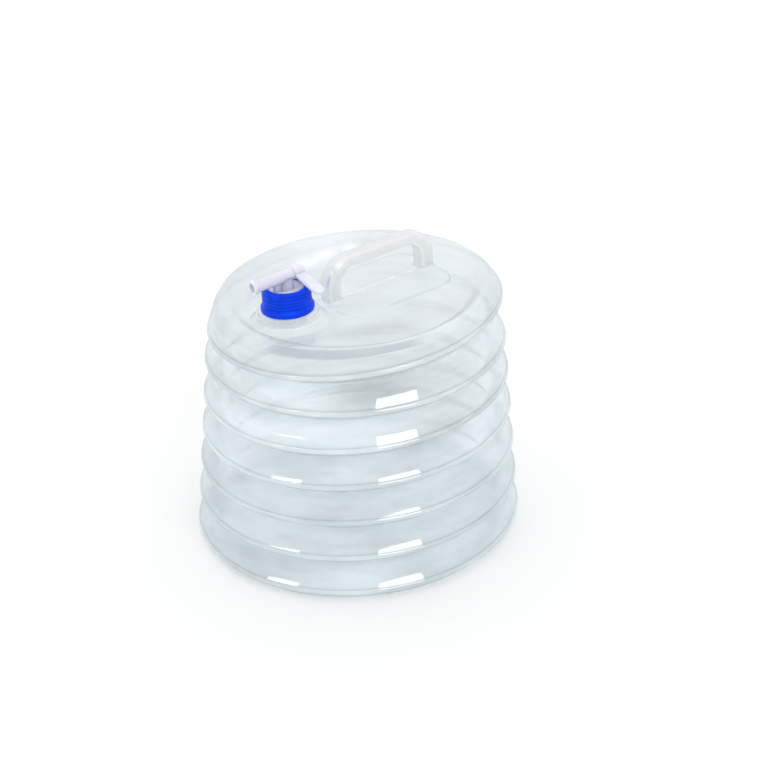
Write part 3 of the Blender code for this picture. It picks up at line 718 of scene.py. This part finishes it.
def solid_material(name, colour, roughness, variation, subsurface=0.0, clarity=0.0, specular=0.5):
    # Moulded plastic with a faint mottle and uneven gloss
    material, tree = new_tree(name)
    link = tree.links.new
    out = add(tree, "ShaderNodeOutputMaterial")
    shader = add(tree, "ShaderNodeBsdfPrincipled")
    coordinates = add(tree, "ShaderNodeTexCoord").outputs["Object"]
    mottle = noise(tree, coordinates, scale=140.0, detail=3.0)
    mottle = ranged(tree, mottle, low=1 - variation, high=1 + variation)
    link(scaled(tree, colour, mottle), shader.inputs["Base Color"])
    gloss = noise(tree, coordinates, scale=60.0, detail=3.0)
    link(ranged(tree, gloss, low=roughness * 0.85, high=roughness * 1.2), shader.inputs["Roughness"])
    shader.inputs["Specular IOR Level"].default_value = specular
    shader.inputs["Subsurface Weight"].default_value = subsurface
    shader.inputs["Subsurface Scale"].default_value = 0.004
    shader.inputs["Subsurface Radius"].default_value = (1.0, 1.0, 1.0)
    grain = noise(tree, coordinates, scale=500.0, detail=2.0)
    link(bumps(tree, grain, strength=0.10, distance=0.0004), shader.inputs["Normal"])
    surface = shader.outputs[0]
    if clarity > 0.0:
        clear = add(tree, "ShaderNodeBsdfTransparent")
        surface = mixed(tree, clarity, surface, clear.outputs[0])
    link(surface, out.inputs["Surface"])
    return material


DEEP_COLOUR = (0.66, 0.72, 0.75)
skin_film = film_material("folded film", milk=0.46, colour=(0.88, 0.935, 0.96), tint=(0.962, 0.984, 0.991),
                          deep=DEEP_COLOUR, gloss=0.085, roughness=0.04, streak=0.16)
lid_film = film_material("lid film", milk=0.48, colour=(0.90, 0.925, 0.94), tint=(0.965, 0.98, 0.985),
                         deep=DEEP_COLOUR, gloss=0.075, roughness=0.05, streak=0.07)
handle_film = film_material("handle film", milk=0.38, colour=(0.94, 0.94, 0.94), tint=(0.99, 0.993, 0.996),
                            deep=(0.95, 0.96, 0.965), gloss=0.22, roughness=0.06, streak=0.03)
blue = solid_material("blue ring plastic", (0.0, 0.056, 0.82), roughness=0.34, variation=0.14, specular=0.12)
tap_white = solid_material("tap plastic", (0.80, 0.81, 0.91), roughness=0.22, variation=0.02,
                           subsurface=0.7, clarity=0.16, specular=0.8)
gasket_grey = solid_material("gasket rubber", (0.62, 0.63, 0.64), roughness=0.6, variation=0.03)

# Painted light and shade on the film, placed by the camera's heading: degrees to the camera's right, height,
# spreads of both, and how much paler the film is there (painted light, which also makes the milk denser), or
# darker where it is less than zero (painted shade)
PAINTED_PATCHES = (
    (-23.0, 0.170, 16.0, 0.006, 0.10), (-6.0, 0.139, 26.0, 0.010, 0.12), (-34.0, 0.140, 20.0, 0.012, 0.09),
    (6.0, 0.174, 18.0, 0.009, -0.50), (46.0, 0.172, 14.0, 0.010, -0.12), (36.0, 0.135, 12.0, 0.010, -0.30),
    (52.0, 0.142, 14.0, 0.016, -0.12), (0.0, 0.200, 40.0, 0.010, -0.20), (48.0, 0.202, 16.0, 0.010, -0.14),
    (0.0, 0.018, 24.0, 0.012, 0.10), (-60.0, 0.110, 14.0, 0.040, 0.08), (50.0, 0.080, 12.0, 0.012, -0.10),
    (-53.0, 0.140, 14.0, 0.010, 0.08), (-48.0, 0.020, 16.0, 0.014, -0.12), (20.0, 0.142, 10.0, 0.006, 0.08),
    (10.0, 0.080, 30.0, 0.010, -0.04))

# The same on the lid, painted reflections where paler and painted shade where darker: place, spreads along
# and across the handle, and how much paler
LID_PAINTED_PATCHES = (
    (-0.035, 0.062, 0.055, 0.026, -0.10), (0.008, 0.075, 0.011, 0.009, 0.34),
    (0.030, 0.078, 0.012, 0.008, 0.28), (0.050, 0.073, 0.007, 0.006, 0.25),
    (-0.083, -0.044, 0.024, 0.022, -0.16), (-0.050, -0.080, 0.050, 0.020, -0.16),
    (0.030, -0.070, 0.040, 0.014, -0.10), (0.070, -0.050, 0.030, 0.020, -0.05),
    (-0.020, -0.030, 0.030, 0.010, -0.06), (-0.085, -0.030, 0.014, 0.030, -0.06),
    (-0.048, -0.052, 0.015, 0.014, -0.20), (-0.030, -0.060, 0.014, 0.014, -0.22),
    (-0.010, -0.070, 0.014, 0.012, -0.18))


def summed_patches(across, along, patches):
    # The sum of all soft patches at each pair of places
    tone = np.zeros(len(across))
    for middle_across, middle_along, width, length, gain in patches:
        distance = ((across - middle_across) / width) ** 2 + ((along - middle_along) / length) ** 2
        tone += gain * np.exp(-distance)
    return tone


def mark(piece, name, values):
    # A value for each of the mesh's points, which the film material reads
    piece.data.attributes.new(name, "FLOAT", "POINT").data.foreach_set("value", values)


# Folded skin, with painted shade in a strip just under the lid's edge at the front, on the side facing the
# camera

EDGE_SHADE_GAIN = 1.2
EDGE_SHADE_DROP = 0.0002
EDGE_SHADE_FADE = 0.0003
EDGE_SHADE_MIDDLE = -4.0
EDGE_SHADE_HALF = 34.0
EDGE_SHADE_END = 9.0
EDGE_SHADE_INSET = 0.0004

profile, painted_shading = skin_profile()
points, faces = turned(profile, SKIN_SEGMENTS)
skin = mesh_object("folded_skin", leaned(np.array(points), BEAD), faces, skin_film)
point_shading = np.array(painted_shading[:1] + [share for share in painted_shading[1:] for _ in range(SKIN_SEGMENTS)])
spots = np.array(points)
heights = spots[:, 2]
heading = np.degrees(np.arctan2(spots[:, 1], spots[:, 0])) - (np.degrees(VIEW_AZIMUTH) - 90.0)
heading = (heading + 180.0) % 360.0 - 180.0
# Painted shade: a dark strip just under the lid's edge, only on the side that faces the camera
strip = smooth((heights - LID_Z + SHOULDER_BREAK[1] + EDGE_SHADE_DROP) / EDGE_SHADE_FADE)
strip *= smooth((EDGE_SHADE_HALF - np.abs(heading - EDGE_SHADE_MIDDLE)) / EDGE_SHADE_END)
strip *= np.hypot(spots[:, 0], spots[:, 1]) > LID_RADIUS + EDGE_SHADE_INSET
mark(skin, "painted_shading", np.maximum(point_shading, EDGE_SHADE_GAIN * strip))
# Painted light and shade patches, placed by the camera's heading
mark(skin, "milk_and_painted_shading", summed_patches(heading, heights, PAINTED_PATCHES))
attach(skin, "base")
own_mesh(skin)
stack_nodes = [f"fold_wall_{k}" for k in range(1, 7)] + [f"crest_ring_{k}" for k in range(1, 7)]
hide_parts("base_pan", "lid_shoulder", *stack_nodes)

# Lid with its boss, neck and thread; its pad has a painted highlight along the seam and painted shade along
# its edge

SEAM_HIGHLIGHT = 0.16
SEAM_HIGHLIGHT_HALF_LENGTH = 0.046
SEAM_HIGHLIGHT_HALF_WIDTH = 0.0012
PAD_EDGE_SHADE = 0.55
PAD_LINE_OUT = 0.0002
PAD_LINE_WIDTH = 0.0007
PAD_LINE_START = -0.010
PAD_LINE_FADE = 0.030
PAD_LINE_REAR = 0.030

lid = Piece()
lid.add(*lid_mesh())
boss = eased([(BOSS_CUT, PANEL + BOSS_START), (BOSS_SIDE_RADIUS, PANEL + BOSS_STEP),
              (BOSS_TOP_RADIUS, PANEL + BOSS_STEP), (BOSS_TOP_RADIUS, BOSS_TOP), (NECK_RADIUS, BOSS_TOP),
              (NECK_RADIUS, NECK_TOP), (NECK_BORE, NECK_TOP), (NECK_BORE, PANEL - BORE_OVERRUN)],
             BOSS_ROUND)
lid.add(*turned(boss, BOSS_SEGMENTS), move=(NECK_X, 0.0, 0.0))
neck_thread = helix(NECK_RADIUS, NECK_RADIUS + THREAD_DEPTH, THREAD_LOW, NECK_THREAD_TURNS)
lid.add(*neck_thread, move=(NECK_X, 0.0, 0.0))
lid_piece = lid.done("lid_film", LID_PLACE, lid_film)
plane = np.array([point[:2] for point in lid.points])
# Painted reflections and painted shade on the lid
tone = summed_patches(plane[:, 0], plane[:, 1], LID_PAINTED_PATCHES)
# Painted highlight: a paler line along the raised seam under the handle
near_seam = np.abs(plane[:, 1]) < SEAM_HIGHLIGHT_HALF_WIDTH
tone[near_seam & (np.abs(plane[:, 0] - HANDLE_X) < SEAM_HIGHLIGHT_HALF_LENGTH)] += SEAM_HIGHLIGHT
mark(lid_piece, "milk_and_painted_shading", tone)
# Painted shade: a dark line along the pad's edge, fading out toward the neck and left off at the rear
from_line = (pad_distance(plane[:, 0], plane[:, 1]) - PAD_LINE_OUT) / PAD_LINE_WIDTH
pad_edge_shade = PAD_EDGE_SHADE * np.exp(-from_line ** 2) * (plane[:, 1] < PAD_LINE_REAR)
mark(lid_piece, "painted_shading", pad_edge_shade * smooth((plane[:, 0] - PAD_LINE_START) / PAD_LINE_FADE))
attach(lid_piece, "lid")
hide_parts("lid_plate")

# Handle, with its milk a little denser and paler along its rounded edges, more so towards its legs: partly
# denser plastic, partly a painted highlight

EDGE_PLACE = 0.0064
EDGE_SPREAD = 0.0011
EDGE_MILK_AND_HIGHLIGHT = (0.10, 0.10)


def arch(half, foot, top, radius, steps=14):
    line = [(half, foot)]
    line += arc((half - radius, top - radius), radius, 0, 90, steps)
    line += arc((radius - half, top - radius), radius, 90, 180, steps)
    line.append((-half, foot))
    return line


outer = arch(HANDLE_HALF, PAD_TOP, PAD_TOP + HANDLE_RISE, OUTER_CORNER)
inner = arch(HANDLE_HALF - LEG_WIDTH, PAD_TOP, PAD_TOP + HANDLE_RISE - GRIP_THICKNESS, INNER_CORNER)
handle = slab("handle_arch", outer + inner[::-1], HANDLE_DEPTH, HANDLE_EDGE, handle_film,
              LID_PLACE + Vector((HANDLE_X, 0.0, 0.0)), Matrix.Rotation(pi / 2, 3, "X"), rings=5)
spots = np.array([corner.co for corner in handle.data.vertices]) - np.array(LID_PLACE)
# Denser milk along the edges, painted paler as a highlight, more towards the legs
along = np.abs(spots[:, 0] - HANDLE_X) / HANDLE_HALF
at_edge = np.exp(-((np.abs(spots[:, 1]) - EDGE_PLACE) / EDGE_SPREAD) ** 2)
mark(handle, "milk_and_painted_shading", (EDGE_MILK_AND_HIGHLIGHT[0] + EDGE_MILK_AND_HIGHLIGHT[1] * along ** 2) * at_edge)
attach(handle, "lid")
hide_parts("carry_handle")

# Screw ring

ridges = []
ridge_top = RING_HIGH - RIM_EDGE / 2
ridge_bottom = RING_LOW + SKIRT_HEIGHT
ridge_pitch = (ridge_top - ridge_bottom) / RIDGES
for ridge in range(RIDGES):
    start = ridge_top - ridge_pitch * ridge
    ridges += [(RING_RADIUS - cut, start - ridge_pitch * share) for share, cut in RIDGE_CUTS]
crown = (RING_RADIUS - RIM_EDGE / 2 - CROWN_INSET, RING_HIGH)
outside = [crown] + arc((RING_RADIUS - RIM_EDGE / 2, ridge_top), RIM_EDGE / 2, 80, 15, 5) + ridges
outside += eased([(RING_RADIUS - SKIRT_STEP, ridge_bottom), (SKIRT_RADIUS, ridge_bottom - SKIRT_FLARE),
                  (SKIRT_RADIUS, RING_LOW), (RING_BORE, RING_LOW), (RING_BORE, LIP_LOW),
                  (LIP_RADIUS, LIP_LOW), (LIP_RADIUS, LIP_TOP), (RING_RADIUS - RIM_EDGE, LIP_TOP),
                  (RING_RADIUS - RIM_EDGE, RING_HIGH - CROWN_DROP), crown], RING_ROUND)
ring = Piece()
ring.add(*turned(outside, RING_SEGMENTS))
ring.add(*helix(RING_BORE, NECK_RADIUS + GAP, THREAD_LOW - RING_THREAD_DROP, RING_THREAD_TURNS))
ring_piece = ring.done("ring_blue", NECK_PLACE, blue)
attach(ring_piece, "ring")
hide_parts("screw_ring")

# Tap: disc, stem, web and the lying barrel with its open spout

LYING = Matrix.Rotation(pi / 2, 3, "Y")
AXIS = (0.0, 0.0, BARREL_Z)
tap = Piece()
disc = eased([(0.0, DISC_TOP), (NECK_RADIUS, DISC_TOP), (NECK_RADIUS, DISC_TOP - DISC_THICKNESS),
              (0.0, DISC_TOP - DISC_THICKNESS)], DISC_ROUND)
tap.add(*turned(disc, DISC_SEGMENTS))
stem = eased([(STEM_RADIUS + STEM_FLARE, DISC_TOP - STEM_FOOT[0]), (STEM_RADIUS, DISC_TOP + STEM_FOOT[1]),
              (STEM_RADIUS, BARREL_Z - STEM_SHORT)], STEM_FLARE)
tap.add(*turned(stem, TAP_SEGMENTS))
collar_radius = BARREL_RADIUS + COLLAR_RISE
collar_end = -SPOUT_REACH + COLLAR_LENGTH
barrel = eased([(BARREL_BORE, -BARREL_STOP), (BARREL_BORE, -SPOUT_REACH), (collar_radius, -SPOUT_REACH),
                (collar_radius, collar_end), (BARREL_RADIUS, collar_end + COLLAR_SLOPE),
                (BARREL_RADIUS, BARREL_REAR), (BARREL_BORE, BARREL_REAR)], BARREL_ROUND)
tap.add(*turned(barrel, TAP_SEGMENTS), turn=LYING, move=AXIS)
tap.add(*turned([(0.0, -BARREL_STOP), (BARREL_BORE, -BARREL_STOP)], TAP_SEGMENTS), turn=LYING, move=AXIS)
web_heights = (DISC_TOP - WEB_SINK, BARREL_Z)
web = [(x, y, z) for x in (-WEB_REACH, 0.0) for y in (-WEB_HALF, WEB_HALF) for z in web_heights]
tap.add(web, [(0, 1, 3, 2), (4, 6, 7, 5), (0, 4, 5, 1), (2, 3, 7, 6), (0, 2, 6, 4), (1, 5, 7, 3)])
tap_piece = tap.done("tap_body_white", NECK_PLACE, tap_white)
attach(tap_piece, "tap")
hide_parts("tap_body")

# Plug with its hub and lever

hub_start = BARREL_REAR + GAP
hub_end = BARREL_REAR + GAP + LEVER_WIDTH
hub_middle = BARREL_REAR + GAP + LEVER_WIDTH / 2
plug = Piece()
hub = eased([(0.0, -PLUG_REACH), (PLUG_RADIUS, -PLUG_REACH), (PLUG_RADIUS, hub_start),
             (HUB_RADIUS, hub_start), (HUB_RADIUS, hub_end), (0.0, hub_end)], HUB_ROUND)
plug.add(*turned(hub, TAP_SEGMENTS), turn=LYING, move=AXIS)
plug_piece = plug.done("plug_hub", NECK_PLACE, tap_white)
lever_end = arc((0.0, LEVER_LENGTH - LEVER_WIDTH / 2), LEVER_WIDTH / 2, 180, 0, 16)
outline = [(-LEVER_WIDTH / 2, 0.0)] + lever_end + [(LEVER_WIDTH / 2, 0.0)]
down = Matrix.Rotation(pi, 3, "Z") @ Matrix.Rotation(-LEVER_SLOPE, 3, "X")
lever = slab("plug_lever", outline, LEVER_THICKNESS, LEVER_EDGE, tap_white,
             NECK_PLACE + Vector((hub_middle, 0.0, BARREL_Z)), down, rings=3)
for piece in (plug_piece, lever):
    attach(piece, "plug")
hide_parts("tap_plug")

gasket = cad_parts["tap_gasket"]
gasket.data.materials.clear()
gasket.data.materials.append(gasket_grey)

# Studio

scene = bpy.context.scene
FRONT_LEVEL = 0.81
CEILING_LEVEL = 1.32
CEILING_SPAN = (0.72, 0.92)
SWEEP_LEVEL = 0.32
SWEEP_SPAN = (-0.2, 0.7)
FLOOR_COLOUR = (0.77, 0.77, 0.77, 1.0)
FLOOR_GLOW = 0.14
FLOOR_HALF = 6.0
FLOOR_Z = -0.0004
WINDOW_HEIGHT = 0.12


def direction(side, elevation):
    # A unit vector from the object: side is measured to the camera's right of the camera
    heading = Vector((sin(VIEW_AZIMUTH), -cos(VIEW_AZIMUTH), 0.0))
    turn = Matrix.Rotation(radians(side), 3, "Z")
    flat = turn @ heading
    return flat * cos(radians(elevation)) + Vector((0.0, 0.0, sin(radians(elevation))))


def soft_sky():
    # Bright ceiling over a dimmer room, with the white sweep behind the object
    world = bpy.data.worlds.new("studio")
    scene.world = world
    world.use_nodes = True
    tree = world.node_tree
    way = add(tree, "ShaderNodeTexCoord").outputs["Generated"]
    back = tree.nodes["Background"]
    back.inputs["Color"].default_value = (1.0, 1.0, 1.0, 1.0)
    levels = []
    for heading, span, low, high in ((Vector((0.0, 0.0, 1.0)), CEILING_SPAN, FRONT_LEVEL, CEILING_LEVEL),
                                     (-direction(0.0, 0.0), SWEEP_SPAN, 0.0, SWEEP_LEVEL)):
        along = add(tree, "ShaderNodeVectorMath", "DOT_PRODUCT")
        tree.links.new(way, along.inputs[0])
        along.inputs[1].default_value = heading
        levels.append(ranged(tree, along.outputs["Value"], low, high, *span))
    tree.links.new(computed(tree, "ADD", *levels), back.inputs["Strength"])


def floor_piece():
    material, tree = new_tree("floor white")
    link = tree.links.new
    out = add(tree, "ShaderNodeOutputMaterial")
    diffuse = add(tree, "ShaderNodeBsdfDiffuse")
    diffuse.inputs["Color"].default_value = FLOOR_COLOUR
    glow = add(tree, "ShaderNodeEmission")
    glow.inputs["Strength"].default_value = FLOOR_GLOW
    both = add(tree, "ShaderNodeAddShader")
    fill(tree, both, (diffuse.outputs[0], glow.outputs[0]))
    link(both.outputs[0], out.inputs["Surface"])
    corners = [(x * FLOOR_HALF, y * FLOOR_HALF, FLOOR_Z) for x, y in ((-1, -1), (1, -1), (1, 1), (-1, 1))]
    floor = mesh_object("floor", corners, [(0, 1, 2, 3)], material, smooth=False)


def window(name, facing, near, span, rise, brightness):
    # An upright pane on a wall that faces the object, its edges given as shares of the wall's distance
    width = (span[1] - span[0]) * near
    height = (rise[1] - rise[0]) * near
    data = bpy.data.lights.new(name, "AREA")
    data.shape = "RECTANGLE"
    data.size = width
    data.size_y = height
    data.energy = brightness * pi * width * height
    light = bpy.data.objects.new(name, data)
    scene.collection.objects.link(light)
    heading = direction(facing, 0.0)
    across = direction(facing + 90.0, 0.0)
    centre = heading + across * (sum(span) / 2) + Vector((0.0, 0.0, sum(rise) / 2))
    light.location = Vector((0.0, 0.0, WINDOW_HEIGHT)) + centre * near
    light.rotation_euler = (-heading).to_track_quat("-Z", "Y").to_euler()


soft_sky()
floor_piece()
window("right window", facing=15.0, near=5.0, span=(-0.05, 0.59), rise=(0.74, 0.98), brightness=6.0)
window("left window", facing=-30.0, near=5.0, span=(-0.88, -0.333), rise=(0.84, 0.91), brightness=7.0)

# Camera, fitted to the photo

DISTANCE = 1.5
ELEVATION = radians(28.85)
ROLL = radians(3.34)
FOCAL_PIXELS = 1752.0
IMAGE = 766
SENSOR_WIDTH = 36.0
ORIGIN_PIXEL = (358.84, 508.4)

ahead = Vector((-sin(VIEW_AZIMUTH), cos(VIEW_AZIMUTH), 0.0)) * cos(ELEVATION)
ahead -= Vector((0.0, 0.0, sin(ELEVATION)))
level_right = Vector((cos(VIEW_AZIMUTH), sin(VIEW_AZIMUTH), 0.0))
level_up = level_right.cross(ahead)
right = cos(ROLL) * level_right - sin(ROLL) * level_up
up = sin(ROLL) * level_right + cos(ROLL) * level_up
to_origin = ahead + right * ((ORIGIN_PIXEL[0] - IMAGE / 2) / FOCAL_PIXELS)
to_origin -= up * ((ORIGIN_PIXEL[1] - IMAGE / 2) / FOCAL_PIXELS)
to_origin.normalize()
camera_data = bpy.data.cameras.new("camera")
camera_data.sensor_width = SENSOR_WIDTH
camera_data.lens = SENSOR_WIDTH * FOCAL_PIXELS / IMAGE
camera = bpy.data.objects.new("camera", camera_data)
scene.collection.objects.link(camera)
basis = Matrix((right, up, -ahead)).transposed().to_4x4()
camera.matrix_world = Matrix.Translation(-to_origin * DISTANCE) @ basis
scene.camera = camera

scene.render.engine = "CYCLES"
scene.cycles.samples = 96
scene.cycles.max_bounces = 24
scene.cycles.transparent_max_bounces = 32
scene.cycles.transmission_bounces = 16
scene.cycles.seed = 7
scene.render.resolution_x = IMAGE
scene.render.resolution_y = IMAGE
scene.view_settings.view_transform = "Standard"
